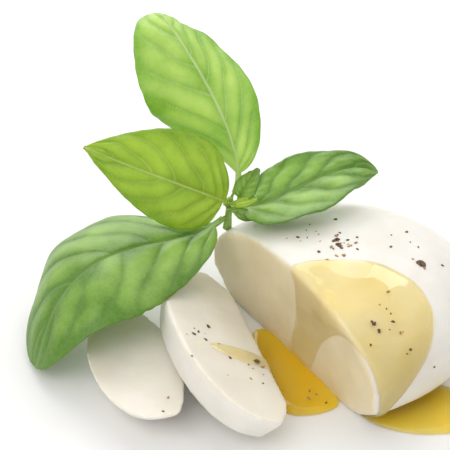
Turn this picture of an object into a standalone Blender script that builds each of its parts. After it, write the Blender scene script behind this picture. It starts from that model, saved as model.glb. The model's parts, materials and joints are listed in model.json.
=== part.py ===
"""A soft mozzarella ball, partly sliced, with a sprig of basil on top.

The ball has sagged under its own weight: a flat base, a low waist and a domed crown. Two slices are cut from
its left end. They have toppled to the left and lie shingled, the inner one leaning on the outer one. A sprig
of basil rests on the cut: four grown leaves and a young one round a short stem.

Everything is laid out on a table plane at z = 0, in millimetres, and then centred on the origin in metres.
"""

import math

import bmesh
import bpy
import numpy as np
from mathutils import Matrix, Vector

MM = 0.001

# The sagged ball, with u across the slices, v along them and z up from its base.
BALL_HALF_U = 44.7
BALL_HALF_V = 41.1
BALL_HEIGHT = 30.5
WAIST_HEIGHT = 10.7
CROWN_POWER = 2.1
SKIRT_POWER = 3.6
SKIRT_DEPTH = 12.0
CREASE_HEIGHT = 6.0
BASE_REACH = 0.76
UNDERSIDE_POWER = 0.75
UNEVENNESS = 0.010
UNDERSIDE_RINGS = 4
BALL_RINGS = 20
BALL_SIDES = 72

# How the cut ball stands on the table.
BALL_CENTRE = (27.8, -54.0)
CUT_AZIMUTH = 33.0
CUT_OFFSET = -11.6

# The slices lean to the left about their lower edge. Place is the middle of the edge that was the base.
SLICE_YAW = 17.3
INNER_SLICE = {
    "cut": -20.0,
    "thickness": 9.4,
    "lean": 28.0,
    "place": (9.8, -67.4, 8.3),
    "along": 0.94,
    "across": 0.95,
}
OUTER_SLICE = {
    "cut": -33.0,
    "thickness": 9.0,
    "lean": 0.0,
    "place": (-13.2, -71.4, 9.0),
    "along": 0.86,
    "across": 1.0,
}

# Basil leaf sections: thin at the margin, thicker along the midrib.
LEAF_EDGE = 0.7
LEAF_RIB = 1.7
RIB_SPREAD = 1.6
STALK_HALF_WIDTH = 0.9
LEAF_STEPS = 22
LEAF_STEPS_ACROSS = 12
STEM_FOOT = (0.8, -28.5, 20.8)
STEM_TOP = (1.6, -27.2, 30.0)
STEM_RADIUS = 1.1

# Each leaf: the four control points of its midrib, which way its upper face looks at the base and at the
# tip, its half widths left and right, how far each half is folded up (degrees) and how much it curls down.
LEAVES = {
    "basil_leaf_upper": {
        "route": ((2.3, -24.6, 29.8), (9.6, -23.2, 45.6), (-17.7, -9.9, 81.6), (-18.1, 3.3, 72.8)),
        "faces": ((-0.69, -0.48, 0.54), (0.02, 0.15, 0.99)),
        "half_widths": (17.6, 12.0),
        "folds": (3.0, -32.0),
        "curl": 0.0047,
        "fullness": (0.90, 0.70),
        "stalk": 0.12,
    },
    "basil_leaf_left": {
        "route": ((-0.4, -29.8, 30.6), (1.6, -34.8, 34.6), (-22.2, -40.3, 48.0), (-38.4, -42.1, 58.4)),
        "faces": ((-0.19, -0.73, 0.66), (-0.09, -0.52, 0.85)),
        "half_widths": (12.0, 15.4),
        "folds": (-1.0, 11.0),
        "curl": 0.0121,
        "fullness": (0.87, 0.88),
        "stalk": 0.08,
    },
    "basil_leaf_lower": {
        "route": ((-0.6, -30.0, 25.4), (-14.7, -43.3, 19.8), (-44.2, -49.4, 41.5), (-52.5, -69.1, 2.3)),
        "faces": ((0.03, -0.22, 0.98), (-0.75, -0.47, 0.46)),
        "half_widths": (22.1, 24.4),
        "folds": (14.0, -7.0),
        "curl": 0.0169,
        "fullness": (1.31, 0.47),
        "stalk": 0.06,
    },
    "basil_leaf_right": {
        "route": ((3.4, -27.4, 27.6), (12.6, -33.4, 27.8), (31.6, -19.4, 41.7), (43.9, -17.1, 32.0)),
        "faces": ((0.0, 0.02, 1.0), (0.06, -0.45, 0.89)),
        "half_widths": (11.3, 15.4),
        "folds": (-3.0, 14.0),
        "curl": -0.009,
        "fullness": (0.60, 0.74),
        "stalk": 0.10,
    },
    "basil_leaf_young": {
        "route": ((4.2, -29.0, 30.6), (4.4, -29.9, 34.0), (7.4, -29.4, 38.3), (9.4, -28.2, 41.0)),
        "faces": ((-0.30, -0.85, 0.40), (0.10, -0.80, 0.60)),
        "half_widths": (3.4, 3.5),
        "folds": (24.0, 24.0),
        "curl": 0.0,
        "fullness": (0.80, 0.75),
        "stalk": 0.10,
    },
}

# Colours are linear, as the shader takes them.
CHEESE = (0.88, 0.85, 0.76)
CUT_CHEESE = (0.85, 0.80, 0.66)
BASIL = (0.20, 0.42, 0.04)
BASIL_STEM = (0.33, 0.50, 0.12)


def clear_scene():
    for old in list(bpy.data.objects):
        bpy.data.objects.remove(old, do_unlink=True)


def finish_material(name, colour, roughness):
    """A plain dielectric surface with the part's colour."""
    material = bpy.data.materials.new(name)
    material.use_nodes = True
    shader = material.node_tree.nodes["Principled BSDF"]
    shader.inputs["Base Color"].default_value = (*colour, 1.0)
    shader.inputs["Roughness"].default_value = roughness
    shader.inputs["Metallic"].default_value = 0.0
    return material


def add_part(name, bm, material):
    """Turns a bmesh in millimetres into a named, smooth-shaded object in metres."""
    bmesh.ops.recalc_face_normals(bm, faces=bm.faces)
    bmesh.ops.scale(bm, vec=(MM, MM, MM), verts=bm.verts)
    mesh = bpy.data.meshes.new(name)
    bm.to_mesh(mesh)
    bm.free()
    mesh.shade_smooth()
    mesh.set_sharp_from_angle(angle=math.radians(50))
    mesh.materials.append(material)
    part = bpy.data.objects.new(name, mesh)
    bpy.context.scene.collection.objects.link(part)
    return part


def ball_profile():
    """(reach, height) up the ball's side: the turned-under base, the crease, the waist and the crown."""
    crease_fall = (WAIST_HEIGHT - CREASE_HEIGHT) / SKIRT_DEPTH
    crease_angle = -math.asin(crease_fall ** (SKIRT_POWER / 2))
    crease_reach = math.cos(crease_angle) ** (2 / SKIRT_POWER)
    profile = []
    for row in range(UNDERSIDE_RINGS):
        rise = row / UNDERSIDE_RINGS
        reach = BASE_REACH + (crease_reach - BASE_REACH) * rise**UNDERSIDE_POWER
        profile.append((reach, CREASE_HEIGHT * rise))
    for row in range(BALL_RINGS):
        angle = crease_angle + (math.pi / 2 - crease_angle) * row / BALL_RINGS
        power = CROWN_POWER if angle >= 0 else SKIRT_POWER
        depth = BALL_HEIGHT - WAIST_HEIGHT if angle >= 0 else -SKIRT_DEPTH
        reach = math.cos(angle) ** (2 / power)
        profile.append((reach, WAIST_HEIGHT + depth * abs(math.sin(angle)) ** (2 / power)))
    return profile


def sagged_ball():
    """The whole ball as a closed mesh: rings from the flat base, over the waist, to the crown."""
    bm = bmesh.new()
    rings = []
    for row, (reach, height) in enumerate(ball_profile()):
        ring = []
        for side in range(BALL_SIDES):
            turn = 2 * math.pi * side / BALL_SIDES
            uneven = 1 + UNEVENNESS * (math.sin(3 * turn + 0.6) + 0.6 * math.sin(5 * turn + row * 0.15))
            u = BALL_HALF_U * reach * uneven * math.cos(turn)
            v = BALL_HALF_V * reach * uneven * math.sin(turn)
            ring.append(bm.verts.new((u, v, height)))
        rings.append(ring)
    for lower, upper in zip(rings, rings[1:]):
        for side in range(BALL_SIDES):
            following = (side + 1) % BALL_SIDES
            bm.faces.new((lower[side], lower[following], upper[following], upper[side]))
    crown = bm.verts.new((0.0, 0.0, BALL_HEIGHT))
    for side in range(BALL_SIDES):
        bm.faces.new((rings[-1][side], rings[-1][(side + 1) % BALL_SIDES], crown))
    bm.faces.new(list(reversed(rings[0])))
    return bm


def cut_at(bm, u, keep_above):
    """Cuts the ball with an upright knife at u, and closes the cut."""
    plane_normal = Vector((-1, 0, 0)) if keep_above else Vector((1, 0, 0))
    everything = list(bm.verts) + list(bm.edges) + list(bm.faces)
    cut = bmesh.ops.bisect_plane(
        bm, geom=everything, plane_co=(u, 0, 0), plane_no=plane_normal, clear_outer=True, dist=1e-4
    )
    rim = [item for item in cut["geom_cut"] if isinstance(item, bmesh.types.BMEdge)]
    bmesh.ops.contextual_create(bm, geom=rim)


def make_cut_ball(material):
    bm = sagged_ball()
    cut_at(bm, CUT_OFFSET, keep_above=True)
    stand = Matrix.Translation((*BALL_CENTRE, 0)) @ Matrix.Rotation(math.radians(CUT_AZIMUTH), 4, "Z")
    bmesh.ops.transform(bm, matrix=stand, verts=bm.verts)
    return add_part("cheese_ball", bm, material)


def make_slice(name, sizes, material):
    """Cuts one slice from the whole ball and lays it down, its inner cut face up."""
    bm = sagged_ball()
    cut_at(bm, sizes["cut"], keep_above=False)
    cut_at(bm, sizes["cut"] - sizes["thickness"], keep_above=True)
    bmesh.ops.translate(bm, vec=(-sizes["cut"], 0, 0), verts=bm.verts)
    bmesh.ops.scale(bm, vec=(1, sizes["along"], sizes["across"]), verts=bm.verts)
    yaw = math.radians(SLICE_YAW)
    lean = math.radians(sizes["lean"])
    face_up = Vector((math.sin(lean) * math.cos(yaw), math.sin(lean) * math.sin(yaw), math.cos(lean)))
    backward = Vector((-math.sin(yaw), math.cos(yaw), 0))
    crownward = face_up.cross(backward)
    turn = Matrix((face_up, backward, crownward)).transposed().to_4x4()
    bmesh.ops.transform(bm, matrix=Matrix.Translation(sizes["place"]) @ turn, verts=bm.verts)
    return add_part(name, bm, material)


def unit(vectors):
    return vectors / np.linalg.norm(vectors, axis=-1, keepdims=True)


def midrib(leaf, along):
    """Points, directions and upper-face normals of a leaf's midrib at fractions of its length."""
    first, second, third, last = (np.array(point) for point in leaf["route"])
    s = along[:, None]
    points = (1 - s) ** 3 * first + 3 * (1 - s) ** 2 * s * second + 3 * (1 - s) * s**2 * third + s**3 * last
    forward = unit(
        (1 - s) ** 2 * (second - first) + 2 * (1 - s) * s * (third - second) + s**2 * (last - third)
    )
    faces = [np.array(face) for face in leaf["faces"]]
    normals = (1 - s) * faces[0] + s * faces[1]
    normals = unit(normals - forward * (normals * forward).sum(1, keepdims=True))
    return points, forward, normals


def blade_half_width(leaf, along, half_width):
    """The outline of one half of the blade: a narrow stalk, then an oval that ends in a point."""
    blade = np.clip((along - leaf["stalk"]) / (1 - leaf["stalk"]), 0, 1)
    shift, fullness = leaf["fullness"]
    oval = np.maximum(np.sin(math.pi * blade**shift), 0) ** fullness
    stalk = STALK_HALF_WIDTH * np.clip((1 - along) * 12, 0.25, 1)
    return np.maximum(half_width * oval, stalk)


def leaf_surface(leaf, along, across):
    """The upper face of a leaf, as points of a grid, and its normals there."""
    points, forward, normals = midrib(leaf, along)
    sideways = np.cross(forward, normals)
    left, right = (blade_half_width(leaf, along, half_width) for half_width in leaf["half_widths"])
    reach = np.abs(across)[None, :] * np.where(across > 0, right[:, None], left[:, None])
    fold = np.radians(np.where(across > 0, leaf["folds"][1], leaf["folds"][0]))[None, :]
    side = np.sign(across)[None, :] * reach * np.cos(fold)
    rise = reach * np.sin(fold) - leaf["curl"] * reach**2
    grid = points[:, None] + sideways[:, None] * side[..., None] + normals[:, None] * rise[..., None]
    run_along = np.gradient(grid, axis=0)
    run_across = np.gradient(grid, axis=1)
    return grid, unit(np.cross(run_along, run_across)), reach


def make_leaf(name, leaf, material):
    """A closed blade: the upper face, and a lower face that stands off most along the midrib."""
    along = np.linspace(0, 1, LEAF_STEPS + 1)
    across = np.linspace(-1, 1, LEAF_STEPS_ACROSS + 1)
    upper, normals, reach = leaf_surface(leaf, along, across)
    thickness = LEAF_EDGE + (LEAF_RIB - LEAF_EDGE) * np.exp(-((reach / RIB_SPREAD) ** 2))
    thickness = thickness * np.clip((1.02 - along) * 8, 0.35, 1)[:, None]
    lower = upper - normals * thickness[..., None]
    bm = bmesh.new()
    top = [[bm.verts.new(point) for point in row] for row in upper]
    bottom = [[bm.verts.new(point) for point in row] for row in lower]
    for i in range(LEAF_STEPS):
        for j in range(LEAF_STEPS_ACROSS):
            bm.faces.new((top[i][j], top[i + 1][j], top[i + 1][j + 1], top[i][j + 1]))
            bm.faces.new((bottom[i][j], bottom[i][j + 1], bottom[i + 1][j + 1], bottom[i + 1][j]))
        for j in (0, LEAF_STEPS_ACROSS):
            bm.faces.new((top[i][j], bottom[i][j], bottom[i + 1][j], top[i + 1][j]))
    for j in range(LEAF_STEPS_ACROSS):
        for i in (0, LEAF_STEPS):
            bm.faces.new((top[i][j], top[i][j + 1], bottom[i][j + 1], bottom[i][j]))
    return add_part(name, bm, material)


def make_stem(material):
    """The short cut stem that the leaves grow from: a tapered, slightly leaning post."""
    foot = Vector(STEM_FOOT)
    axis = Vector(STEM_TOP) - foot
    bm = bmesh.new()
    bmesh.ops.create_cone(
        bm,
        cap_ends=True,
        segments=12,
        radius1=STEM_RADIUS,
        radius2=STEM_RADIUS * 0.7,
        depth=axis.length,
    )
    turn = axis.to_track_quat("Z", "Y").to_matrix().to_4x4()
    bmesh.ops.transform(bm, matrix=Matrix.Translation(foot + axis / 2) @ turn, verts=bm.verts)
    return add_part("basil_stem", bm, material)


def centre_on_origin(parts):
    """Moves all parts so that the middle of their box's base is the origin."""
    corners = np.array([vertex.co for part in parts for vertex in part.data.vertices])
    low = corners.min(axis=0)
    high = corners.max(axis=0)
    shift = Vector((-(low[0] + high[0]) / 2, -(low[1] + high[1]) / 2, -low[2]))
    for part in parts:
        part.data.transform(Matrix.Translation(shift))


def main():
    clear_scene()
    cheese = finish_material("soft_cheese", CHEESE, 0.45)
    cut_cheese = finish_material("cut_cheese", CUT_CHEESE, 0.40)
    basil = finish_material("basil_leaf", BASIL, 0.45)
    stem = finish_material("basil_stem", BASIL_STEM, 0.50)
    parts = [
        make_cut_ball(cheese),
        make_slice("inner_slice", INNER_SLICE, cut_cheese),
        make_slice("outer_slice", OUTER_SLICE, cut_cheese),
        make_stem(stem),
    ]
    for name, leaf in LEAVES.items():
        parts.append(make_leaf(name, leaf, basil))
    centre_on_origin(parts)


main()
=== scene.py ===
"""A partly sliced mozzarella ball with a sprig of basil, olive oil and crushed pepper.

The cheese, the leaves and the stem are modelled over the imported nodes. The oil and the pepper lie on the
finished cheese. Every length in the tables below is in millimetres.
"""

import json
import math
import random

import bpy
import numpy as np
from mathutils import Matrix, Vector, noise
from mathutils.bvhtree import BVHTree

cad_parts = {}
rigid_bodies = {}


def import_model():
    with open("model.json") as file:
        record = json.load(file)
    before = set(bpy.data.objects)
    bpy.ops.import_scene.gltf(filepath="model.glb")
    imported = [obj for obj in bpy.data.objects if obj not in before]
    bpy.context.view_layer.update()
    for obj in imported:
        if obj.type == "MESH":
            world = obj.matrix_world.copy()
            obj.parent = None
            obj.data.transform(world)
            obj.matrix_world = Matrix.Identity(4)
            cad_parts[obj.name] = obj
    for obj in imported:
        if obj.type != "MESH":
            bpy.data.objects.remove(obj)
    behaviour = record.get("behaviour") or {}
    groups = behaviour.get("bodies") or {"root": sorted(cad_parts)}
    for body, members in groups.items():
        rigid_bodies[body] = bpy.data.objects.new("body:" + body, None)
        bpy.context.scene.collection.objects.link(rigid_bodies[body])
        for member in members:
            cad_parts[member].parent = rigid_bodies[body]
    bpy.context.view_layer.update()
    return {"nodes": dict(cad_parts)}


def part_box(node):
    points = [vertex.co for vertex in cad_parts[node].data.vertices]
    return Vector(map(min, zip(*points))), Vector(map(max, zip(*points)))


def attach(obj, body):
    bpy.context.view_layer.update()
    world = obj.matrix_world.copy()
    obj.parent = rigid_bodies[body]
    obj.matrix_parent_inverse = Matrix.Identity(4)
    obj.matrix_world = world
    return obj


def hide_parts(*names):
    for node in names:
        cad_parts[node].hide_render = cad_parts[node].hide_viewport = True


for old in list(bpy.data.objects):
    bpy.data.objects.remove(old, do_unlink=True)
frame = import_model()

bl_info = {
    "name": "Mozzarella with basil",
    "version": (1, 0, 0),
    "blender": (4, 5, 0),
    "location": "3D View > Sidebar > Mozzarella",
    "description": "Models a sliced mozzarella ball with basil, oil and pepper round its packed nodes",
    "category": "Object",
}

MM = 0.001

# The ball stands turned, and its cut face looks to the front left. Its crown is this far behind the cut, and to
# the left and front of the middle of the ball's box.
CUT_TURN = math.radians(33.0)
ACROSS = Vector((math.cos(CUT_TURN), math.sin(CUT_TURN), 0.0))
ALONG = Vector((-math.sin(CUT_TURN), math.cos(CUT_TURN), 0.0))
CROWN_FROM_CUT = 11.6
LEFT_FROM_BOX_MIDDLE = (-5.9, -1.1)

# Leaves narrower than this get a finer mesh.
SMALL_LEAF_WIDTH = 10.0

# How much of their paleness the veins keep on the deep green leaves. The less they keep, the more
# painted shade darkens the leaves' tips.
FAINT_VEINS = 0.40

# What the young leaf and the bracts have in common.
SMALL = {
    "curl": 0.0,
    "fullness": (0.80, 0.70),
    "stalk": 0.08,
    "pairs": 4.0,
    "wave": 0.1,
    "finish": "deep",
}

# Each leaf, from the top of the stem: the four points that lead its midrib, which way its upper face looks
# at the base and at the tip, half widths and folds in degrees on its left and right, how it curls, its
# outline's shift and fullness, the share of its length that is stalk, its pairs of veins, the height of its
# quilting and of its wavy margin, and its finish.
LEAVES = {
    "basil_leaf_upper": {
        "route": ((1.3, 3.4, -0.3), (8.6, 4.8, 15.5), (-18.7, 18.1, 51.5), (-19.1, 31.3, 42.7)),
        "faces": ((-0.69, -0.48, 0.54), (0.02, 0.15, 0.99)),
        "half_widths": (17.6, 12.0),
        "folds": (3.0, -32.0),
        "curl": 0.0047,
        "fullness": (0.90, 0.70),
        "stalk": 0.12,
        "pairs": 6.5,
        "quilt": 0.75,
        "wave": 0.8,
        "finish": "bright",
    },
    "basil_leaf_left": {
        "route": ((-1.4, -1.8, 0.5), (0.6, -6.8, 4.5), (-23.2, -12.3, 17.9), (-39.4, -14.1, 28.3)),
        "faces": ((-0.19, -0.73, 0.66), (-0.09, -0.52, 0.85)),
        "half_widths": (12.0, 15.4),
        "folds": (-1.0, 11.0),
        "curl": 0.0121,
        "fullness": (0.87, 0.88),
        "stalk": 0.08,
        "pairs": 6.0,
        "quilt": 0.7,
        "wave": 0.5,
        "finish": "fresh",
    },
    "basil_leaf_lower": {
        "route": ((-1.6, -2.0, -4.7), (-15.7, -15.3, -10.3), (-45.2, -21.4, 11.4), (-53.5, -41.1, -27.8)),
        "faces": ((0.03, -0.22, 0.98), (-0.75, -0.47, 0.46)),
        "half_widths": (22.1, 24.4),
        "folds": (14.0, -7.0),
        "curl": 0.0169,
        "fullness": (1.31, 0.47),
        "stalk": 0.06,
        "pairs": 5.5,
        "quilt": 0.65,
        "wave": 0.9,
        "finish": "deep",
    },
    "basil_leaf_right": {
        "route": ((2.4, 0.6, -2.5), (11.6, -5.4, -2.3), (30.6, 8.6, 11.6), (42.9, 10.9, 1.9)),
        "faces": ((0.0, 0.02, 1.0), (0.06, -0.45, 0.89)),
        "half_widths": (11.3, 15.4),
        "folds": (-3.0, 14.0),
        "curl": -0.009,
        "fullness": (0.60, 0.74),
        "stalk": 0.10,
        "pairs": 4.5,
        "quilt": 0.9,
        "wave": 0.8,
        "finish": "deep",
    },
    "basil_leaf_young": {
        **SMALL,
        "route": ((3.2, -1.0, 0.5), (3.4, -1.9, 3.9), (6.4, -1.4, 8.2), (8.4, -0.2, 10.9)),
        "faces": ((-0.30, -0.85, 0.40), (0.10, -0.80, 0.60)),
        "half_widths": (3.4, 3.5),
        "folds": (24.0, 24.0),
        "fullness": (0.80, 0.75),
        "stalk": 0.10,
        "pairs": 5.0,
        "quilt": 0.2,
    },
}

# The small curled bracts at the foot of the leaves.
BRACTS = {
    "basil_bract_pale": {
        **SMALL,
        "route": ((1.0, -2.2, 0.2), (3.0, -4.2, 1.6), (6.0, -4.0, 2.6), (8.0, -2.6, 2.4)),
        "faces": ((0.0, -0.6, 0.8), (0.1, -0.7, 0.7)),
        "half_widths": (1.5, 1.7),
        "folds": (30.0, 22.0),
        "quilt": 0.08,
        "finish": "fresh",
    },
    "basil_bract_dark": {
        **SMALL,
        "route": ((1.4, -2.6, -1.4), (3.4, -4.6, -1.6), (5.8, -4.6, -2.2), (7.4, -4.0, -3.8)),
        "faces": ((0.0, -0.5, 0.85), (0.3, -0.6, 0.7)),
        "half_widths": (1.8, 2.0),
        "folds": (12.0, 12.0),
        "curl": 0.02,
        "quilt": 0.1,
    },
}

# The oil on the ball, as if its skin and cut were unrolled: across from the cut's edge (less than 0 is down
# the cut face) and along the cut (less than 0 is to the front). It bulges over the skin from the crown to the
# front foot, and a tongue of it runs down the cut.
OIL_BULGE = 28.0
OIL_LENGTH = 62.0
OIL_TONGUE = ((1, -48), (-1, -38), (-4, -27), (-14, -17), (-30, -10), (-30, 0), (-16, -3), (-4, -2))

# Oil on the inner slice and on the table, in plan from the middle of the ball's box: the middle, the half
# lengths and the turn of an oval, or the corners of a wedge.
STREAK_ON_SLICE = ((-28.5, -21.8), (9.5, 3.4), math.radians(4.0))
DROP_ON_SLICE = ((-40.4, -23.5), (1.2, 0.8), math.radians(-20.0))
POOL_IN_FRONT = ((20.0, -30.5), (18.0, 10.8), math.radians(-6.0))
POOL_BETWEEN = ((-25, 3), (-17, -2), (-3, -25), (-6, -32), (-16, -33), (-22, -24), (-26, -8))


def srgb(value):
    """The linear colour, with alpha, of an sRGB hex value such as 'f3efe8'."""
    channels = [int(value[i : i + 2], 16) / 255 for i in (0, 2, 4)]
    linear = [c / 12.92 if c <= 0.04045 else ((c + 0.055) / 1.055) ** 2.4 for c in channels]
    return (*linear, 1.0)


def colour_property(name, description, value):
    """A colour that a user can change, with its default as a hex value."""
    return bpy.props.FloatVectorProperty(
        name=name, description=description, default=srgb(value), size=4, subtype="COLOR", min=0.0, max=1.0
    )


def millimetres(name, description, default):
    """A size that a user can change, in millimetres."""
    return bpy.props.FloatProperty(
        name=name, description=description + ", in millimetres", default=default, min=0.0
    )


def add_node(tree, kind, settings=None, inputs=None, links=None):
    """Adds a node, with its settings, its input values and the sockets that feed its inputs."""
    node = tree.nodes.new(kind)
    for name, value in (settings or {}).items():
        setattr(node, name, value)
    for name, value in (inputs or {}).items():
        node.inputs[name].default_value = value
    for name, source in (links or {}).items():
        tree.links.new(source, node.inputs[name])
    return node


def new_material(name):
    """An empty node material, its tree and its output."""
    material = bpy.data.materials.new(name)
    material.use_nodes = True
    tree = material.node_tree
    tree.nodes.clear()
    output = tree.nodes.new("ShaderNodeOutputMaterial")
    return material, tree, output


def per_metre(size_mm):
    """The noise scale that gives patches of this size."""
    return 1.0 / (size_mm * MM)


def colour_ramp(tree, source, stops):
    """Blends linear colours at given places along a 0 to 1 value."""
    ramp = add_node(tree, "ShaderNodeValToRGB", links={"Fac": source})
    elements = ramp.color_ramp.elements
    while len(elements) < len(stops):
        elements.new(0.5)
    for element, (place, colour) in zip(elements, stops):
        element.position = place
        element.color = colour
    return ramp.outputs["Color"]


def milk_curd(settings):
    """Fresh mozzarella: moist stretched curd. Light goes a few millimetres in, so that edges glow and shadows
    are soft. The skin is white and smooth, and the cut is creamier and darker, with faint fibres along the
    ball;
    the cut's colour is partly the curd's own tone and partly painted shade of the cut face."""
    material, tree, output = new_material("stretched_curd")
    place = add_node(tree, "ShaderNodeTexCoord").outputs["Object"]
    clouds = add_node(
        tree, "ShaderNodeTexNoise", inputs={"Scale": per_metre(14.0), "Detail": 3.0}, links={"Vector": place}
    )
    skin = colour_ramp(tree, clouds.outputs["Fac"], ((0.32, settings.skin_shade), (0.62, settings.skin)))
    cut = colour_ramp(tree, clouds.outputs["Fac"], ((0.32, settings.cut_shade), (0.62, settings.cut)))
    # The cut's colour is partly the curd's own creamier tone and partly painted shade of the cut face.
    on_cut = add_node(tree, "ShaderNodeAttribute", {"attribute_name": "cut"})
    tone = add_node(
        tree,
        "ShaderNodeMix",
        {"data_type": "RGBA"},
        links={"Factor": on_cut.outputs["Fac"], "A": skin, "B": cut},
    )
    stretched = add_node(
        tree,
        "ShaderNodeMapping",
        inputs={"Rotation": (0.0, 0.0, -CUT_TURN), "Scale": (1.0, 0.35, 1.0)},
        links={"Vector": place},
    )
    fibres = add_node(
        tree,
        "ShaderNodeTexNoise",
        inputs={"Scale": per_metre(1.8), "Detail": 4.0, "Roughness": 0.6},
        links={"Vector": stretched.outputs["Vector"]},
    )
    bump = add_node(
        tree,
        "ShaderNodeBump",
        inputs={"Strength": 0.5, "Distance": 0.14 * MM},
        links={"Height": fibres.outputs["Fac"]},
    )
    dampness = add_node(
        tree,
        "ShaderNodeMapRange",
        inputs={"From Min": 0.3, "From Max": 0.7, "To Min": 0.36, "To Max": 0.52},
        links={"Value": fibres.outputs["Fac"]},
    )
    shader = add_node(
        tree,
        "ShaderNodeBsdfPrincipled",
        inputs={
            "IOR": 1.42,
            "Subsurface Weight": 0.55,
            "Subsurface Radius": (1.0, 0.78, 0.5),
            "Subsurface Scale": 2.6 * MM,
            "Coat Weight": settings.wet,
            "Coat Roughness": 0.22,
        },
        links={
            "Base Color": tone.outputs["Result"],
            "Roughness": dampness.outputs["Result"],
            "Normal": bump.outputs["Normal"],
        },
    )
    tree.links.new(shader.outputs["BSDF"], output.inputs["Surface"])
    return material


def basil_blade(name, light, deep, vein, glow):
    """Living basil blade: a waxy upper skin over soft green flesh that lets light through, with paler veins and
    fine cells between them. Its hollows and its tip are painted deeper green, as painted shade."""
    material, tree, output = new_material(name)
    place = add_node(tree, "ShaderNodeTexCoord").outputs["Object"]
    patches = add_node(
        tree, "ShaderNodeTexNoise", inputs={"Scale": per_metre(9.0), "Detail": 4.0}, links={"Vector": place}
    )
    # Painted shade: the green darkens towards its second colour in the hollows between the veins and towards
    # the tip, with random patches on top.
    painted_shade = add_node(tree, "ShaderNodeAttribute", {"attribute_name": "painted_shade"})
    depth = add_node(
        tree,
        "ShaderNodeMath",
        {"operation": "MULTIPLY_ADD"},
        {1: 0.55},
        {0: painted_shade.outputs["Fac"], 2: patches.outputs["Fac"]},
    )
    green = colour_ramp(tree, depth.outputs[0], ((0.42, light), (1.0, deep)))
    cells = add_node(
        tree,
        "ShaderNodeTexVoronoi",
        {"feature": "DISTANCE_TO_EDGE"},
        {"Scale": per_metre(1.7)},
        {"Vector": place},
    )
    net = add_node(
        tree,
        "ShaderNodeMapRange",
        inputs={"From Min": 0.0, "From Max": 0.16, "To Min": 0.08, "To Max": 0.0},
        links={"Value": cells.outputs["Distance"]},
    )
    veins = add_node(tree, "ShaderNodeAttribute", {"attribute_name": "vein"})
    lines = add_node(
        tree,
        "ShaderNodeMath",
        {"operation": "MAXIMUM"},
        links={0: veins.outputs["Fac"], 1: net.outputs["Result"]},
    )
    veined = add_node(
        tree,
        "ShaderNodeMix",
        {"data_type": "RGBA"},
        {"B": srgb(vein)},
        {"Factor": lines.outputs[0], "A": green},
    )
    bump = add_node(
        tree,
        "ShaderNodeBump",
        inputs={"Strength": 0.35, "Distance": 0.25 * MM},
        links={"Height": cells.outputs["Distance"]},
    )
    shader = add_node(
        tree,
        "ShaderNodeBsdfPrincipled",
        inputs={
            "Roughness": 0.40,
            "IOR": 1.45,
            "Subsurface Weight": 0.20,
            "Subsurface Radius": (0.8, 1.0, 0.25),
            "Subsurface Scale": 1.2 * MM,
            "Coat Weight": 0.25,
            "Coat Roughness": 0.30,
        },
        links={"Base Color": veined.outputs["Result"], "Normal": bump.outputs["Normal"]},
    )
    through = add_node(tree, "ShaderNodeBsdfTranslucent", inputs={"Color": srgb(glow)})
    blend = add_node(
        tree,
        "ShaderNodeMixShader",
        inputs={"Fac": 0.16},
        links={1: shader.outputs["BSDF"], 2: through.outputs["BSDF"]},
    )
    tree.links.new(blend.outputs["Shader"], output.inputs["Surface"])
    return material


def basil_stalk(green_light):
    """Young basil stalk: smooth, watery and pale green, with faint lengthwise streaks."""
    material, tree, output = new_material("basil_stalk")
    place = add_node(tree, "ShaderNodeTexCoord").outputs["Object"]
    drawn_out = add_node(
        tree, "ShaderNodeMapping", inputs={"Scale": (1.0, 1.0, 0.15)}, links={"Vector": place}
    )
    streaks = add_node(
        tree,
        "ShaderNodeTexNoise",
        inputs={"Scale": per_metre(0.8), "Detail": 3.0},
        links={"Vector": drawn_out.outputs["Vector"]},
    )
    green = colour_ramp(tree, streaks.outputs["Fac"], ((0.3, srgb("6f9a34")), (0.7, green_light)))
    shader = add_node(
        tree,
        "ShaderNodeBsdfPrincipled",
        inputs={
            "Roughness": 0.38,
            "IOR": 1.42,
            "Subsurface Weight": 0.4,
            "Subsurface Radius": (0.8, 1.0, 0.3),
            "Subsurface Scale": 1.5 * MM,
        },
        links={"Base Color": green},
    )
    tree.links.new(shader.outputs["BSDF"], output.inputs["Surface"])
    return material


def olive_oil(name, depth_colour, per_mm):
    """Olive oil: clear, golden where it is deep and nearly colourless where it is thin, with sharp gloss."""
    material, tree, output = new_material(name)
    glass = add_node(
        tree,
        "ShaderNodeBsdfPrincipled",
        inputs={"Base Color": srgb("ffffff"), "Roughness": 0.06, "IOR": 1.47, "Transmission Weight": 1.0},
    )
    clear = add_node(tree, "ShaderNodeBsdfTransparent", inputs={"Color": srgb("ffffff")})
    path = add_node(tree, "ShaderNodeLightPath")
    surface = add_node(
        tree,
        "ShaderNodeMixShader",
        links={"Fac": path.outputs["Is Shadow Ray"], 1: glass.outputs["BSDF"], 2: clear.outputs["BSDF"]},
    )
    depth = add_node(
        tree, "ShaderNodeVolumeAbsorption", inputs={"Color": depth_colour, "Density": per_mm / MM}
    )
    tree.links.new(surface.outputs["Shader"], output.inputs["Surface"])
    tree.links.new(depth.outputs["Volume"], output.inputs["Volume"])
    return material


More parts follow.
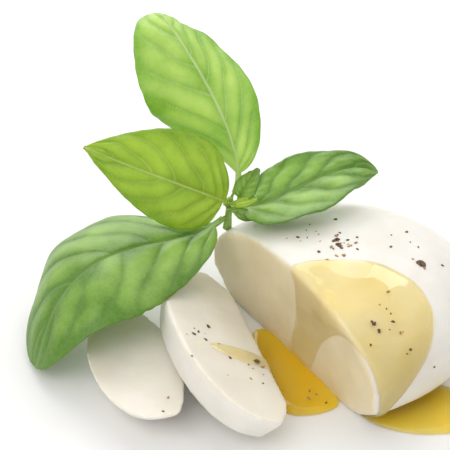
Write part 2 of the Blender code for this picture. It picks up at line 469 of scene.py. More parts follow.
def crushed_pepper(name, dark, light):
    """Crushed peppercorn: dry, wrinkled husk or pale kernel, matt and uneven in tone."""
    material, tree, output = new_material(name)
    place = add_node(tree, "ShaderNodeTexCoord").outputs["Object"]
    spots = add_node(
        tree, "ShaderNodeTexNoise", inputs={"Scale": per_metre(0.7), "Detail": 3.0}, links={"Vector": place}
    )
    tone = colour_ramp(tree, spots.outputs["Fac"], ((0.35, srgb(dark)), (0.68, light)))
    bump = add_node(
        tree,
        "ShaderNodeBump",
        inputs={"Strength": 0.8, "Distance": 0.12 * MM},
        links={"Height": spots.outputs["Fac"]},
    )
    shader = add_node(
        tree,
        "ShaderNodeBsdfPrincipled",
        inputs={"Roughness": 0.7},
        links={"Base Color": tone, "Normal": bump.outputs["Normal"]},
    )
    tree.links.new(shader.outputs["BSDF"], output.inputs["Surface"])
    return material


def select_only(piece):
    """Selects this piece alone and makes it active."""
    bpy.ops.object.select_all(action="DESELECT")
    piece.select_set(True)
    bpy.context.view_layer.objects.active = piece


def add_object(operator, **settings):
    """Adds an object with nothing else selected, and gives it back."""
    bpy.ops.object.select_all(action="DESELECT")
    operator(**settings)
    return bpy.context.object


def edit_all(piece, **operators):
    """Runs mesh operators, each with its settings, on the whole of a piece in edit mode."""
    select_only(piece)
    bpy.ops.object.mode_set(mode="EDIT")
    bpy.ops.mesh.select_all(action="SELECT")
    for name, settings in operators.items():
        getattr(bpy.ops.mesh, name)(**settings)
    bpy.ops.object.mode_set(mode="OBJECT")


def shade_smooth(piece):
    """Shades a piece as one round surface."""
    select_only(piece)
    bpy.ops.object.shade_smooth()


def apply_modifier(piece, kind, **settings):
    """Adds a modifier with these settings and applies it."""
    select_only(piece)
    modifier = piece.modifiers.new(kind.lower(), kind)
    for name, value in settings.items():
        setattr(modifier, name, value)
    bpy.ops.object.modifier_apply(modifier=modifier.name)


def new_piece(name, vertices, faces):
    """A mesh object at the origin from points in metres."""
    mesh = bpy.data.meshes.new(name)
    mesh.from_pydata([tuple(point) for point in vertices], [], faces)
    mesh.validate()
    piece = bpy.data.objects.new(name, mesh)
    bpy.context.scene.collection.objects.link(piece)
    return piece


def positions(mesh):
    """The vertices' places, one row each."""
    flat = np.empty(len(mesh.vertices) * 3)
    mesh.vertices.foreach_get("co", flat)
    return flat.reshape(-1, 3)


def vertex_normals(mesh):
    """The vertices' outward directions, one row each."""
    flat = np.empty(len(mesh.vertices) * 3)
    mesh.vertex_normals.foreach_get("vector", flat)
    return flat.reshape(-1, 3)


def set_attribute(mesh, name, values):
    """Stores one number a vertex, for a material to read."""
    attribute = mesh.attributes.new(name, "FLOAT", "POINT")
    attribute.data.foreach_set("value", np.asarray(values, dtype=np.float32))


def lumpy_texture(name, size_mm):
    """A cloudy texture with lumps of this size, for displacing a surface."""
    texture = bpy.data.textures.new(name, "CLOUDS")
    texture.noise_scale = size_mm * MM
    texture.noise_depth = 2
    return texture


def soften_curd(node, name, pitch_mm, lumps_mm, wrinkles_mm):
    """Copies a cheese node, merges it, rounds its edges a little and gives it soft lumps and wrinkles."""
    piece = bpy.data.objects.new(name, frame["nodes"][node].data.copy())
    bpy.context.scene.collection.objects.link(piece)
    piece.data.materials.clear()
    edit_all(piece, remove_doubles={"threshold": 1e-6}, normals_make_consistent={"inside": False})
    apply_modifier(piece, "REMESH", mode="VOXEL", voxel_size=pitch_mm * MM)
    apply_modifier(piece, "SMOOTH", factor=0.5, iterations=10)
    for relief, size_mm, height_mm in (("_lumps", 17.0, lumps_mm), ("_wrinkles", 4.5, wrinkles_mm)):
        apply_modifier(
            piece,
            "DISPLACE",
            texture=lumpy_texture(name + relief, size_mm),
            texture_coords="LOCAL",
            strength=height_mm * MM,
            mid_level=0.5,
        )
    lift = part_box(node)[0].z - positions(piece.data)[:, 2].min()
    piece.data.transform(Matrix.Translation((0, 0, lift)))
    shade_smooth(piece)
    return piece


def middle_of(node):
    """The middle of a node's box, at the height of its top."""
    low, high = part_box(node)
    return Vector(((low[0] + high[0]) / 2, (low[1] + high[1]) / 2, high[2]))


BALL_TOP = middle_of("cheese_ball")
BALL_MIDDLE = Vector((BALL_TOP.x, BALL_TOP.y, 0.0))
STEM_TOP = middle_of("basil_stem")
CROWN = BALL_MIDDLE + Vector((*LEFT_FROM_BOX_MIDDLE, 0.0)) * MM


def from_cut(points):
    """How far points are across from the cut plane and along it, in millimetres."""
    offset = points - np.array(CROWN)
    across = offset @ np.array(ACROSS) / MM + CROWN_FROM_CUT
    return across, offset @ np.array(ALONG) / MM


def cut_share(mesh):
    """1 where the ball's surface is cut, 0 on its skin, and between them along the rounded edge."""
    across, _ = from_cut(positions(mesh))
    facing_cut = -vertex_normals(mesh) @ np.array(ACROSS)
    return np.clip((2.4 - across) / 1.6, 0, 1) * np.clip((facing_cut - 0.35) / 0.4, 0, 1)


def unit(vectors):
    """The vectors at length 1."""
    return vectors / np.maximum(np.linalg.norm(vectors, axis=-1, keepdims=True), 1e-12)


def smooth_loop(points, steps=8):
    """A closed round curve through the points."""
    points = np.array(points, dtype=float)
    before = np.roll(points, 1, axis=0)
    after = np.roll(points, -1, axis=0)
    beyond = np.roll(points, -2, axis=0)
    curve = []
    for t in np.linspace(0, 1, steps, endpoint=False):
        curve.append(
            0.5
            * (
                2 * points
                + (after - before) * t
                + (2 * before - 5 * points + 4 * after - beyond) * t**2
                + (3 * points - before - 3 * after + beyond) * t**3
            )
        )
    return np.stack(curve, axis=1).reshape(-1, 2)


def oval(middle, halves, turn):
    """Eight points round a turned oval."""
    angles = np.arange(8) * math.tau / 8
    u = halves[0] * np.cos(angles)
    v = halves[1] * np.sin(angles)
    x = middle[0] + u * math.cos(turn) - v * math.sin(turn)
    y = middle[1] + u * math.sin(turn) + v * math.cos(turn)
    return np.stack((x, y), axis=1)


def oil_over_edge():
    """The oil's outline on the unrolled ball: a half oval over the skin, then the tongue down the cut."""
    share = np.linspace(0.0, 1.0, 8)
    bulge = 2.0 + (OIL_BULGE - 2.0) * np.sin(math.pi * share**0.9) ** 0.7
    return [*zip(bulge, 1.5 - OIL_LENGTH * share), *OIL_TONGUE]


def inside_by(points, loop):
    """How far each point is inside a closed loop. Outside it is less than 0."""
    start = loop[None]
    run = np.roll(loop, -1, axis=0)[None] - start
    distance = np.empty(len(points))
    inside = np.zeros(len(points), bool)
    for first in range(0, len(points), 4000):
        some = points[first : first + 4000, None]
        share = ((some - start) * run).sum(2) / np.maximum((run**2).sum(2), 1e-12)
        nearest = start + run * np.clip(share, 0, 1)[..., None]
        distance[first : first + 4000] = np.sqrt(((some - nearest) ** 2).sum(2)).min(1)
        level = (start[..., 1] > some[..., 1]) != ((start + run)[..., 1] > some[..., 1])
        rise = np.where(np.abs(run[..., 1]) < 1e-12, 1e-12, run[..., 1])
        crossing = start[..., 0] + run[..., 0] * (some[..., 1] - start[..., 1]) / rise
        inside[first : first + 4000] = (level & (some[..., 0] < crossing)).sum(1) % 2 == 1
    return np.where(inside, distance, -distance)


def lay_oil(name, mesh, flat, outline, depth_mm, rim_mm, sink_mm, uneven_mm, keep=None, thin=None):
    """A sheet of oil on a mesh. flat has each vertex's place on the unrolled surface, in which the outline is
    drawn. Its edge is rounded like a drop's, and its underside is sunk a little into what it lies on. thin is
    the share of the depth that runs off at each vertex."""
    points = positions(mesh)
    normals = vertex_normals(mesh)
    depth_in = inside_by(flat, smooth_loop(outline))
    if keep is not None:
        depth_in = np.where(keep, depth_in, -1e3)
    faces = [tuple(polygon.vertices) for polygon in mesh.polygons]
    faces = [f for f in faces if max(depth_in[v] for v in f) > 0 and min(depth_in[v] for v in f) > -50]
    moved = points.copy()
    pulled = {}
    for face in faces:
        wet = [v for v in face if depth_in[v] > 0]
        for vertex in face:
            if depth_in[vertex] <= 0:
                for other in wet:
                    share = depth_in[other] / (depth_in[other] - depth_in[vertex])
                    pulled.setdefault(vertex, []).append(
                        points[other] + (points[vertex] - points[other]) * share
                    )
    for vertex, crossings in pulled.items():
        moved[vertex] = np.mean(crossings, axis=0)
    used = sorted({v for face in faces for v in face})
    number = {v: i for i, v in enumerate(used)}
    top = []
    bottom = []
    for v in used:
        share = min(max(depth_in[v], 0.0) / rim_mm, 1.0)
        swell = noise.noise(Vector(moved[v] / (9.0 * MM))) * uneven_mm
        thickness = (depth_mm + swell) * math.sqrt(1 - (1 - share) ** 2)
        if thin is not None:
            thickness *= 1 - thin[v]
        top.append(moved[v] + normals[v] * max(thickness, 0.0) * MM)
        bottom.append(moved[v] - normals[v] * sink_mm * MM)
    count = len(used)
    shell = [tuple(number[v] for v in face) for face in faces]
    edges = {}
    for face in shell:
        for a, b in zip(face, face[1:] + face[:1]):
            edges[(a, b)] = True
    rim = [(a, b) for a, b in edges if (b, a) not in edges]
    under = [tuple(count + v for v in reversed(face)) for face in shell]
    sides = [(b, a, count + a, count + b) for a, b in rim]
    piece = new_piece(name, top + bottom, shell + under + sides)
    apply_modifier(piece, "SMOOTH", factor=0.4, iterations=2)
    shade_smooth(piece)
    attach(piece, "root")
    return piece


def midrib_route(leaf, along):
    """Points, directions and upper-face normals of a leaf's midrib at fractions of its length."""
    first, second, third, last = (np.array(point) for point in leaf["route"])
    s = along[:, None]
    points = (1 - s) ** 3 * first + 3 * (1 - s) ** 2 * s * second + 3 * (1 - s) * s**2 * third + s**3 * last
    forward = unit(
        (1 - s) ** 2 * (second - first) + 2 * (1 - s) * s * (third - second) + s**2 * (last - third)
    )
    faces = [np.array(face) for face in leaf["faces"]]
    normals = (1 - s) * faces[0] + s * faces[1]
    normals = unit(normals - forward * (normals * forward).sum(1, keepdims=True))
    return points, forward, normals


def blade_share(leaf, along):
    """How far along the blade proper a point is, once the stalk ends."""
    return np.clip((along - leaf["stalk"]) / (1 - leaf["stalk"]), 0, 1)


def blade_reach(leaf, along, across):
    """How far a point of the blade is from the midrib: a narrow stalk, then an oval that ends in a point, its
    margin faintly toothed."""
    blade = blade_share(leaf, along)
    shift, fullness = leaf["fullness"]
    half = np.where(across > 0, leaf["half_widths"][1], leaf["half_widths"][0])
    oval = np.maximum(np.sin(math.pi * blade**shift), 0) ** fullness
    teeth = 1 + 0.010 * np.sin(blade * 61 + across * 3) * np.sin(blade * 23 + 1.3)
    stalk = 0.9 * np.clip((1 - along) * 12, 0.25, 1)
    return np.abs(across) * np.maximum(half * oval * teeth, stalk)


def blade_surface(leaf, along, across):
    """The plain upper face of a blade, before veins."""
    points, forward, normals = midrib_route(leaf, along)
    sideways = np.cross(forward, normals)
    reach = blade_reach(leaf, along, across)
    fold = np.radians(np.where(across > 0, leaf["folds"][1], leaf["folds"][0]))
    side = np.sign(across) * reach * np.cos(fold)
    rise = reach * np.sin(fold) - leaf["curl"] * reach**2
    return points + sideways * side[:, None] + normals * rise[:, None]


def blade_relief(leaf, along, across):
    """Height of the quilted blade between its veins, how strongly each point lies on a vein, and how much
    painted
    shade it takes: darker green in the hollows between the veins and towards the tip."""
    blade = blade_share(leaf, along)
    spread = np.abs(across)
    reach = blade_reach(leaf, along, across)
    # The veins of one side start between those of the other, and each sweeps forward and wavers a little.
    side = np.where(across > 0, 0.0, 0.42)
    wobble = np.array([noise.noise(Vector((a * 7, c * 2.2, leaf["pairs"]))) for a, c in zip(along, across)])
    phase = (blade**0.92 - 0.34 * spread**1.2) * leaf["pairs"] + side + wobble * 0.22
    off_vein = np.abs(phase - np.round(phase))
    length = np.linalg.norm(np.array(leaf["route"][3]) - np.array(leaf["route"][0]))
    gap_mm = off_vein * length / leaf["pairs"]
    within = np.clip(blade * 9, 0, 1) * np.clip((1 - blade) * 10, 0, 1)
    pillow = np.sin(math.pi * off_vein) ** 0.5 * np.sin(math.pi * np.clip(spread, 0, 1) ** 0.75) ** 0.6
    ripples = np.array([noise.noise(Vector((a * 16, c * 7, 3.7))) for a, c in zip(along, across)])
    margin = np.sin(blade * 19 + across * 1.7) * spread**3
    groove = np.exp(-((reach / 0.55) ** 2))
    quilting = leaf["quilt"] * (pillow + 0.18 * ripples)
    height = within * (quilting + leaf["wave"] * margin * 0.6 - 0.3 * groove)
    pale = FAINT_VEINS if leaf["finish"] == "deep" else 1.0
    lateral = np.exp(-((gap_mm / 0.28) ** 2)) * np.clip((0.97 - spread) * 4, 0, 1) * within * 0.40
    vein = np.maximum(lateral, np.exp(-((reach / 0.30) ** 2)) * 0.85) * pale
    # Painted shade: the hollows between the pillows are marked darker, and so is the tip, most on the deep
    # green leaves.
    painted_shade = within * (1 - pillow) * (1 - np.clip(vein, 0, 1)) + (1.3 - pale) * blade**4
    return height, vein, painted_shade


def grow_leaf(name, leaf, material, step_mm):
    """One basil blade: a grid laid on the leaf's upper face, closest near the midrib, quilted between the
    veins, then given its thickness below, most along the midrib."""
    length = np.linalg.norm(np.array(leaf["route"][3]) - np.array(leaf["route"][0])) * 1.15
    rows = int(length / step_mm)
    columns = 2 * int(sum(leaf["half_widths"]) / step_mm / 2)
    piece = add_object(bpy.ops.mesh.primitive_grid_add, x_subdivisions=columns, y_subdivisions=rows, size=2)
    piece.name = name
    piece.data.name = name
    flat = positions(piece.data)
    across = np.sign(flat[:, 0]) * np.clip(np.abs(flat[:, 0]), 0, 1) ** 1.3
    along = np.clip((flat[:, 1] + 1) / 2, 0, 1)
    step = 1e-3
    ahead = blade_surface(leaf, np.minimum(along + step, 1), across)
    behind = blade_surface(leaf, np.maximum(along - step, 0), across)
    right = blade_surface(leaf, along, np.minimum(across + step, 1))
    left = blade_surface(leaf, along, np.maximum(across - step, -1))
    normals = unit(np.cross(right - left, ahead - behind))
    height, vein, painted_shade = blade_relief(leaf, along, across)
    top = blade_surface(leaf, along, across) + normals * height[:, None]
    piece.data.vertices.foreach_set("co", (top * MM + np.array(STEM_TOP)).ravel())
    set_attribute(piece.data, "vein", vein)
    # The leaf carries its painted shade, so the material can darken its hollows and tip.
    set_attribute(piece.data, "painted_shade", painted_shade)
    rib = piece.vertex_groups.new(name="rib")
    reach = blade_reach(leaf, along, across)
    weights = np.exp(-((reach / 0.55) ** 2)) * np.clip(1.15 - along, 0, 1)
    for index, weight in enumerate(weights):
        rib.add([index], float(weight), "REPLACE")
    apply_modifier(
        piece, "SOLIDIFY", thickness=1.5 * MM, offset=-1.0, vertex_group="rib", thickness_vertex_group=0.24
    )
    piece.vertex_groups.clear()
    shade_smooth(piece)
    piece.data.materials.append(material)
    return piece


class CheeseSettings(bpy.types.PropertyGroup):
    pitch: millimetres("Mesh pitch", "Size of the cheese's mesh faces", 0.75)
    lumps: millimetres("Lumps", "Height of the soft lumps of the skin", 0.9)
    wrinkles: millimetres("Wrinkles", "Height of the skin's fine wrinkles", 0.10)
    wet: bpy.props.FloatProperty(
        name="Moisture", description="How wet the cheese looks", default=0.25, subtype="FACTOR", min=0, max=1
    )
    skin: colour_property("Skin", "Colour of the skin and the slices", "f0ece4")
    skin_shade: colour_property("Skin patches", "Colour of the skin's duller patches", "e8e3d8")
    # The cut's colours are darker and warmer than the skin's: partly the curd's own creamier tone, partly
    # painted shade.
    cut: colour_property("Cut", "Colour of the cut curd", "e8dab8")
    cut_shade: colour_property("Cut patches", "Colour of the cut's duller patches", "dccca6")


class BasilSettings(bpy.types.PropertyGroup):
    step: millimetres("Leaf mesh step", "Size of the leaves' mesh faces", 0.42)
    # Each finish has its own green and a darker green, which is painted shade in the hollows and towards the
    # tip.
    deep: colour_property("Deep leaves", "Green of the lower, right and young leaves", "a0c858")
    deep_painted_shade: colour_property("Deep leaves' hollows", "Green of their hollows", "5e8c24")
    bright: colour_property("Bright leaf", "Green of the upper leaf", "c8e874")
    bright_painted_shade: colour_property("Bright leaf's hollows", "Green of its hollows", "84b834")
    fresh: colour_property("Fresh leaf", "Green of the left leaf", "b8d840")
    fresh_painted_shade: colour_property("Fresh leaf's hollows", "Green of its hollows", "84ac10")
    stalk: colour_property("Stalks", "Green of the stem and the stalks", "a9c66a")


class OilSettings(bpy.types.PropertyGroup):
    film: millimetres("Film", "Depth of the oil on the cheese", 0.75)
    pool: millimetres("Pool", "Depth of the oil on the table", 1.6)
    film_colour: colour_property("Film colour", "Colour that light takes in the oil on the cheese", "fbea00")
    pool_colour: colour_property("Pool colour", "Colour that light takes in the oil on the table", "fff400")


class PepperSettings(bpy.types.PropertyGroup):
    seed: bpy.props.IntProperty(name="Seed", description="Changes where the pepper falls", default=7)
    grains: bpy.props.IntProperty(
        name="Grains", description="About how many grains there are", default=84, min=0, max=400
    )
    husk: colour_property("Husks", "Colour of the dark grains", "86613c")
    kernel: colour_property("Kernels", "Colour of the pale grains", "c8a472")


class StageSettings(bpy.types.PropertyGroup):
    elevation: bpy.props.FloatProperty(
        name="Camera elevation",
        description="How steeply the camera looks down",
        default=math.radians(37.0),
        subtype="ANGLE",
        unit="ROTATION",
    )
    distance: bpy.props.FloatProperty(
        name="Camera distance", description="From the camera to the table", default=0.75, unit="LENGTH"
    )
    lens: bpy.props.FloatProperty(
        name="Lens", description="Focal length, in millimetres", default=200.0, unit="CAMERA"
    )
    floor: colour_property("Floor", "Colour of the floor", "f5f4f2")


class MOZZARELLA_OT_ball(bpy.types.Operator):
    """Models the cut ball of cheese"""

    bl_idname = "mozzarella.ball"
    bl_label = "Cut ball"

    def execute(self, context):
        settings = context.scene.mozzarella_cheese
        ball = soften_curd(
            "cheese_ball", "mozzarella_ball", settings.pitch, settings.lumps, settings.wrinkles
        )
        ball.data.materials.append(milk_curd(settings))
        # The cut face takes the cut's colour, which is partly painted shade.
        set_attribute(ball.data, "cut", cut_share(ball.data))
        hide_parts("cheese_ball")
        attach(ball, "root")
        return {"FINISHED"}


class MOZZARELLA_OT_slices(bpy.types.Operator):
    """Models the two toppled slices"""

    bl_idname = "mozzarella.slices"
    bl_label = "Slices"

    def execute(self, context):
        settings = context.scene.mozzarella_cheese
        curd = bpy.data.materials["stretched_curd"]
        for node in ("inner_slice", "outer_slice"):
            piece = soften_curd(
                node, "mozzarella_" + node, settings.pitch * 0.8, settings.lumps * 0.6, settings.wrinkles
            )
            piece.data.materials.append(curd)
            upward = vertex_normals(piece.data)[:, 2]
            # The slices' upward faces take up to a fifth of the cut's colour, which is partly painted shade.
            set_attribute(piece.data, "cut", np.clip((upward - 0.3) / 0.7, 0, 0.20))
            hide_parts(node)
            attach(piece, "root")
        return {"FINISHED"}


class MOZZARELLA_OT_basil(bpy.types.Operator):
    """Models the basil: the leaves, the young leaf, the bracts and the stem"""

    bl_idname = "mozzarella.basil"
    bl_label = "Basil sprig"

    def execute(self, context):
        settings = context.scene.mozzarella_basil
        # The second green of each finish is painted shade, for the hollows and the tip.
        finishes = {
            "deep": basil_blade("basil_blade_deep", settings.deep, settings.deep_painted_shade, "cce0a4", "b0d844"),
            "bright": basil_blade(
                "basil_blade_bright", settings.bright, settings.bright_painted_shade, "e4f0ba", "ccf05c"
            ),
            "fresh": basil_blade(
                "basil_blade_fresh", settings.fresh, settings.fresh_painted_shade, "dcec8c", "ccec40"
            ),
        }
        for name, leaf in {**LEAVES, **BRACTS}.items():
            small = sum(leaf["half_widths"]) < SMALL_LEAF_WIDTH
            step = settings.step * (0.4 if small else 1)
            piece = grow_leaf(name.replace("basil", "grown"), leaf, finishes[leaf["finish"]], step)
            if name in frame["nodes"]:
                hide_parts(name)
            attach(piece, "root")
        self.grow_stem(settings.stalk)
        return {"FINISHED"}

    def stalk(self, name, route):
        """A short bent stalk from inside the stem to the foot of a leaf."""
        start = Vector((-0.3, -0.4, min(route[0][2], 0.0) - 1.6))
        foot = Vector(route[0])
        onward = (Vector(route[1]) - foot).normalized()
        upright = abs(onward.z) > 0.8
        first = Vector((1, 0, 0)) if upright else onward.cross(Vector((0, 0, 1))).normalized()
        second = Vector((0, 1, 0)) if upright else Vector((0, 0, 1))
        steps = 8
        sides = 12
        rings = []
        for step in range(steps + 1):
            t = step / steps
            centre = (1 - t) ** 2 * start + 2 * (1 - t) * t * (foot - onward) + t**2 * (foot + onward * 1.5)
            radius = 0.75 - 0.5 * t
            for side in range(sides):
                turn = math.tau * side / sides
                out = first * math.cos(turn) + second * math.sin(turn)
                rings.append(STEM_TOP + (centre + out * radius) * MM)
        faces = []
        for near in range(0, sides * steps, sides):
            far = near + sides
            for i in range(sides):
                after = (i + 1) % sides
                faces.append((near + i, near + after, far + after, far + i))
        faces += [tuple(range(sides - 1, -1, -1)), tuple(range(sides * steps, sides * (steps + 1)))]
        stalk = new_piece(name + "_stalk", rings, faces)
        edit_all(stalk, normals_make_consistent={"inside": False})
        return stalk

    def grow_stem(self, green):
        """The cut stem: a ridged, slightly waisted post, joined with the leaves' stalks."""
        low, high = (Vector(corner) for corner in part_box("basil_stem"))
        middle = (low + high) / 2
        stem = add_object(
            bpy.ops.mesh.primitive_cone_add,
            vertices=40,
            radius1=1.1 * MM,
            radius2=0.8 * MM,
            depth=high.z - low.z,
            end_fill_type="NGON",
            location=middle,
        )
        stem.name = "grown_stem"
        edit_all(stem, subdivide={"number_cuts": 6})
        bpy.ops.object.transform_apply(location=True, rotation=True, scale=True)
        points = positions(stem.data)
        turn = np.arctan2(points[:, 1] - middle.y, points[:, 0] - middle.x)
        share = (points[:, 2] - low.z) / (high.z - low.z)
        ridge = 1 + 0.10 * np.cos(4 * turn) + 0.10 * np.cos(2 * math.pi * share)
        points[:, 0] = middle.x + (points[:, 0] - middle.x) * ridge + (share - 0.5) * 0.8 * MM
        points[:, 1] = middle.y + (points[:, 1] - middle.y) * ridge + (share - 0.5) * 1.3 * MM
        stem.data.vertices.foreach_set("co", points.ravel())
        stalks = [self.stalk(name, leaf["route"]) for name, leaf in {**LEAVES, **BRACTS}.items()]
        select_only(stem)
        for stalk in stalks:
            stalk.select_set(True)
        bpy.ops.object.join()
        stem.data.materials.append(basil_stalk(green))
        bpy.ops.object.shade_smooth()
        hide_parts("basil_stem")
        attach(stem, "root")


class MOZZARELLA_OT_oil(bpy.types.Operator):
    """Lays the oil on the ball, on the inner slice and on the table beside them"""

    bl_idname = "mozzarella.oil"
    bl_label = "Olive oil"

    def execute(self, context):
        settings = context.scene.mozzarella_oil
        film = olive_oil("olive_oil_film", settings.film_colour, 0.40)
        deep = olive_oil("olive_oil_pool", settings.pool_colour, 0.95)
        ball = bpy.data.objects["mozzarella_ball"].data
        on_cheese = [
            lay_oil(
                "oil_on_ball",
                ball,
                self.unrolled(ball),
                oil_over_edge(),
                depth_mm=settings.film,
                rim_mm=2.2,
                sink_mm=0.12,
                uneven_mm=0.35,
                keep=positions(ball)[:, 2] > 2.0 * MM,
                thin=0.6 * cut_share(ball),
            )
        ]
        slice_mesh = bpy.data.objects["mozzarella_inner_slice"].data
        upward = vertex_normals(slice_mesh)[:, 2] > 0.3
        flat = (positions(slice_mesh) - np.array(BALL_MIDDLE))[:, :2] / MM
        for name, shape, depth in (
            ("oil_on_slice", STREAK_ON_SLICE, 0.5),
            ("oil_drop_on_slice", DROP_ON_SLICE, 0.4),
        ):
            on_cheese.append(
                lay_oil(
                    name,
                    slice_mesh,
                    flat,
                    oval(*shape),
                    depth_mm=depth,
                    rim_mm=2.4,
                    sink_mm=0.10,
                    uneven_mm=0.10,
                    keep=upward,
                )
            )
        for piece in on_cheese:
            piece.data.materials.append(film)
        for name, outline, depth in (
            ("oil_pool_between", POOL_BETWEEN, settings.pool),
            ("oil_pool_in_front", oval(*POOL_IN_FRONT), settings.pool * 0.6),
        ):
            pool = self.pour(name, outline, depth)
            pool.data.materials.append(deep)
        return {"FINISHED"}

    def unrolled(self, mesh):
        """Each vertex's place on the ball's skin and cut as if they were flat."""
        points = positions(mesh)
        across, along = from_cut(points)
        height = points[:, 2] / MM
        top = height.max()
        bins = np.arange(-42, 43, 2.0)
        near = np.abs(across - 0.8) < 0.8
        ridge = np.array([height[near & (np.abs(along - b) < 2)].max(initial=0.0) for b in bins])
        edge_height = np.interp(along, bins, ridge)
        beside_cut = across < 1.3
        down_face = np.where(beside_cut, np.maximum(edge_height - height, 0), 0)
        drop = np.where(beside_cut, top - edge_height, top - height)
        return np.stack((across - down_face, along - 0.8 * drop * np.sign(-along + 1e-9)), axis=1)

    def pour(self, name, outline, depth_mm):
        """A pool on the table: a fine grid that takes the outline, with a rounded rim. Its underside is a
        little under the table top, so that no dark gap shows at its rim."""
        pitch = 0.6
        loop = smooth_loop(outline)
        low = loop.min(axis=0) - 2
        high = loop.max(axis=0) + 2
        sheet = add_object(
            bpy.ops.mesh.primitive_grid_add,
            x_subdivisions=int((high[0] - low[0]) / pitch),
            y_subdivisions=int((high[1] - low[1]) / pitch),
            size=1,
        )
        points = positions(sheet.data)
        flat = low + (points[:, :2] + 0.5) * (high - low)
        points[:, 0] = BALL_MIDDLE.x + flat[:, 0] * MM
        points[:, 1] = BALL_MIDDLE.y + flat[:, 1] * MM
        points[:, 2] = 0.05 * MM
        sheet.data.vertices.foreach_set("co", points.ravel())
        sheet.data.update()
        pool = lay_oil(
            name, sheet.data, flat, outline, depth_mm=depth_mm, rim_mm=2.6, sink_mm=0.25, uneven_mm=0.6
        )
        bpy.data.objects.remove(sheet, do_unlink=True)
        return pool


class MOZZARELLA_OT_pepper(bpy.types.Operator):
    """Scatters crushed pepper over the cheese: dark husks and pale kernels"""

    bl_idname = "mozzarella.pepper"
    bl_label = "Crushed pepper"

    def execute(self, context):
        settings = context.scene.mozzarella_pepper
        draw = random.Random(settings.seed)
        cheese = self.surface(
            (
                "mozzarella_ball",
                "mozzarella_inner_slice",
                "mozzarella_outer_slice",
                "oil_on_ball",
                "oil_on_slice",
                "oil_pool_between",
            )
        )
        places = self.places(draw, settings.grains)
        for name, finish, share in (
            ("pepper_husks", crushed_pepper("pepper_husk", "3c281a", settings.husk), 0),
            ("pepper_kernels", crushed_pepper("pepper_kernel", "8e6a3e", settings.kernel), 1),
        ):
            grains = self.grains(draw, cheese, [p for p in places if p[3] == share], name)
            grains.data.materials.append(finish)
            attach(grains, "root")
        return {"FINISHED"}

    def surface(self, names):
        """The cheese and what lies on it, for finding where a falling grain lands."""
        vertices = []
        faces = []
        for name in names:
            mesh = bpy.data.objects[name].data
            start = len(vertices)
            vertices.extend(vertex.co.copy() for vertex in mesh.vertices)
            faces.extend([start + v for v in polygon.vertices] for polygon in mesh.polygons)
        return BVHTree.FromPolygons(vertices, faces)

    def places(self, draw, count):
        """Where grains fall, more of them near some spots: (x, y, size in millimetres, kind)."""
        ball_fields = (
            ((18, 0), (4, 4), 0.24),
            ((12, 9), (6, 6), 0.16),
            ((33, -6), (5, 8), 0.12),
            ((13, -30), (4, 6), 0.20),
        )
        slice_fields = (
            ((-41, -20), (3, 5), 0.10),
            ((-27, -28), (5, 5), 0.14),
            ((-47, -34), (3, 3), 0.04),
            ((-10, -28), (1.5, 3), 0.08),
        )
        middle = np.array(BALL_MIDDLE)[:2]
        crown = np.array(CROWN)[:2]
        found = []
        kernel_share = 0.4
        coarse_share = 0.15
        for fields, on_ball in ((ball_fields, True), (slice_fields, False)):
            for (first, second), (wide, deep), share in fields:
                for _ in range(int(count * share)):
                    u = draw.gauss(first, wide)
                    v = draw.gauss(second, deep)
                    place = middle + np.array((u, v)) * MM
                    if on_ball:
                        across = (u - CROWN_FROM_CUT) * np.array(ACROSS)[:2]
                        place = crown + (across + v * np.array(ALONG)[:2]) * MM
                    size = draw.uniform(0.5, 1.3) * (1.5 if draw.random() < coarse_share else 1)
                    found.append((*place, size, 1 if draw.random() < kernel_share else 0))
        husk = crown + ((34 - CROWN_FROM_CUT) * np.array(ACROSS)[:2] - 14 * np.array(ALONG)[:2]) * MM
        found.append((*husk, 3.4, 0))
        return found

    def grains(self, draw, cheese, places, name):
        """One joined mesh of broken, flattened grains, each lying on the cheese."""
        pattern = add_object(bpy.ops.mesh.primitive_ico_sphere_add, subdivisions=2, radius=0.5)
        ball = positions(pattern.data)
        ball_faces = [tuple(polygon.vertices) for polygon in pattern.data.polygons]
        bpy.data.objects.remove(pattern, do_unlink=True)
        vertices = []
        faces = []
        for x, y, size, _ in places:
            above = Vector((x, y, 0.1))
            hit, normal, _, _ = cheese.ray_cast(above, Vector((0, 0, -1)))
            if hit is None or normal.z < 0.25:
                continue
            seed = Vector((draw.uniform(0, 50), draw.uniform(0, 50), draw.uniform(0, 50)))
            shape = Vector((1.0, draw.uniform(0.5, 0.85), draw.uniform(0.3, 0.6)))
            turn = Matrix.Rotation(draw.uniform(0, math.tau), 3, "Z")
            tilt = normal.to_track_quat("Z", "Y").to_matrix() @ turn
            start = len(vertices)
            for point in ball:
                dent = 1 + 0.55 * noise.noise(Vector(point) * 2.3 + seed)
                local = Vector((point[0] * shape.x, point[1] * shape.y, point[2] * shape.z)) * dent * size
                local.z = max(local.z, -0.1 * size)
                vertices.append(hit + tilt @ local * MM)
            faces.extend(tuple(start + v for v in face) for face in ball_faces)
        return new_piece(name, vertices, faces)


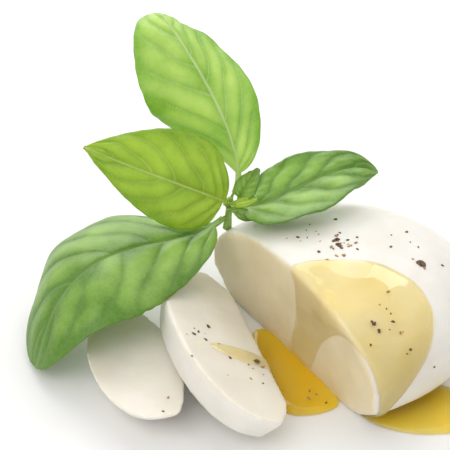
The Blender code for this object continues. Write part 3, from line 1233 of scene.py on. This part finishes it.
class MOZZARELLA_OT_stage(bpy.types.Operator):
    """Sets up the pale floor, the soft lights and the camera"""

    bl_idname = "mozzarella.stage"
    bl_label = "Stage"

    def execute(self, context):
        settings = context.scene.mozzarella_stage
        floor = add_object(bpy.ops.mesh.primitive_plane_add, size=6.0, location=(0, 0, 0))
        floor.name = "floor"
        material, tree, output = new_material("pale_floor")
        shader = add_node(
            tree, "ShaderNodeBsdfPrincipled", inputs={"Base Color": settings.floor, "Roughness": 0.55}
        )
        tree.links.new(shader.outputs["BSDF"], output.inputs["Surface"])
        floor.data.materials.append(material)
        context.scene.view_settings.view_transform = "Standard"
        self.add_lights(context)
        self.add_camera(context, settings)
        return {"FINISHED"}

    def add_lights(self, context):
        """A white sky and four soft lights round the cheese."""
        world = bpy.data.worlds.new("studio")
        world.use_nodes = True
        sky = world.node_tree.nodes["Background"]
        sky.inputs["Color"].default_value = srgb("ffffff")
        sky.inputs["Strength"].default_value = 0.66
        context.scene.world = world
        middle = BALL_MIDDLE
        for name, offset, size, watts in (
            ("key_light", (0.30, 0.28, 0.62), 0.70, 0.85),
            ("fill_light", (-0.40, -0.40, 0.60), 0.70, 2.1),
            ("back_light", (-0.16, 0.62, 0.42), 0.60, 2.2),
            ("strip_light", (0.20, 0.40, 0.42), 0.16, 0.32),
        ):
            place = middle + Vector(offset)
            light = add_object(bpy.ops.object.light_add, type="AREA", location=place)
            light.name = name
            light.data.size = size
            light.data.energy = watts
            light.rotation_euler = (middle - place).to_track_quat("-Z", "Y").to_euler()

    def add_camera(self, context, settings):
        """A long lens that looks down on the sprig and the cut."""
        back = Vector((0, -math.cos(settings.elevation), math.sin(settings.elevation)))
        aim = BALL_MIDDLE + Vector((-33.7, 53.0, 0)) * MM
        camera = add_object(bpy.ops.object.camera_add, location=aim + back * settings.distance)
        camera.data.lens = settings.lens
        camera.data.sensor_width = 36
        camera.data.clip_start = 0.05
        camera.rotation_euler = (-back).to_track_quat("-Z", "Y").to_euler()
        context.scene.camera = camera


class MOZZARELLA_PT_panel(bpy.types.Panel):
    """Lists the settings and the pieces"""

    bl_idname = "MOZZARELLA_PT_panel"
    bl_label = "Mozzarella with basil"
    bl_space_type = "VIEW_3D"
    bl_region_type = "UI"
    bl_category = "Mozzarella"

    def draw(self, context):
        for group, operators in PANEL_ROWS.items():
            settings = getattr(context.scene, group)
            for field in type(settings).__annotations__:
                self.layout.prop(settings, field)
            for name in operators:
                self.layout.operator(name)


PANEL_ROWS = {
    "mozzarella_cheese": ("mozzarella.ball", "mozzarella.slices"),
    "mozzarella_basil": ("mozzarella.basil",),
    "mozzarella_oil": ("mozzarella.oil",),
    "mozzarella_pepper": ("mozzarella.pepper",),
    "mozzarella_stage": ("mozzarella.stage",),
}

SETTINGS = {
    "mozzarella_cheese": CheeseSettings,
    "mozzarella_basil": BasilSettings,
    "mozzarella_oil": OilSettings,
    "mozzarella_pepper": PepperSettings,
    "mozzarella_stage": StageSettings,
}

OPERATORS = (
    MOZZARELLA_OT_ball,
    MOZZARELLA_OT_slices,
    MOZZARELLA_OT_basil,
    MOZZARELLA_OT_oil,
    MOZZARELLA_OT_pepper,
    MOZZARELLA_OT_stage,
)


def register():
    for group in (*SETTINGS.values(), *OPERATORS, MOZZARELLA_PT_panel):
        bpy.utils.register_class(group)
    for name, group in SETTINGS.items():
        setattr(bpy.types.Scene, name, bpy.props.PointerProperty(type=group))


def unregister():
    for name in SETTINGS:
        delattr(bpy.types.Scene, name)
    for group in reversed((*SETTINGS.values(), *OPERATORS, MOZZARELLA_PT_panel)):
        bpy.utils.unregister_class(group)


def main():
    register()
    bpy.ops.mozzarella.ball()
    bpy.ops.mozzarella.slices()
    bpy.ops.mozzarella.basil()
    bpy.ops.mozzarella.oil()
    bpy.ops.mozzarella.pepper()
    bpy.ops.mozzarella.stage()


if __name__ == "__main__":
    main()
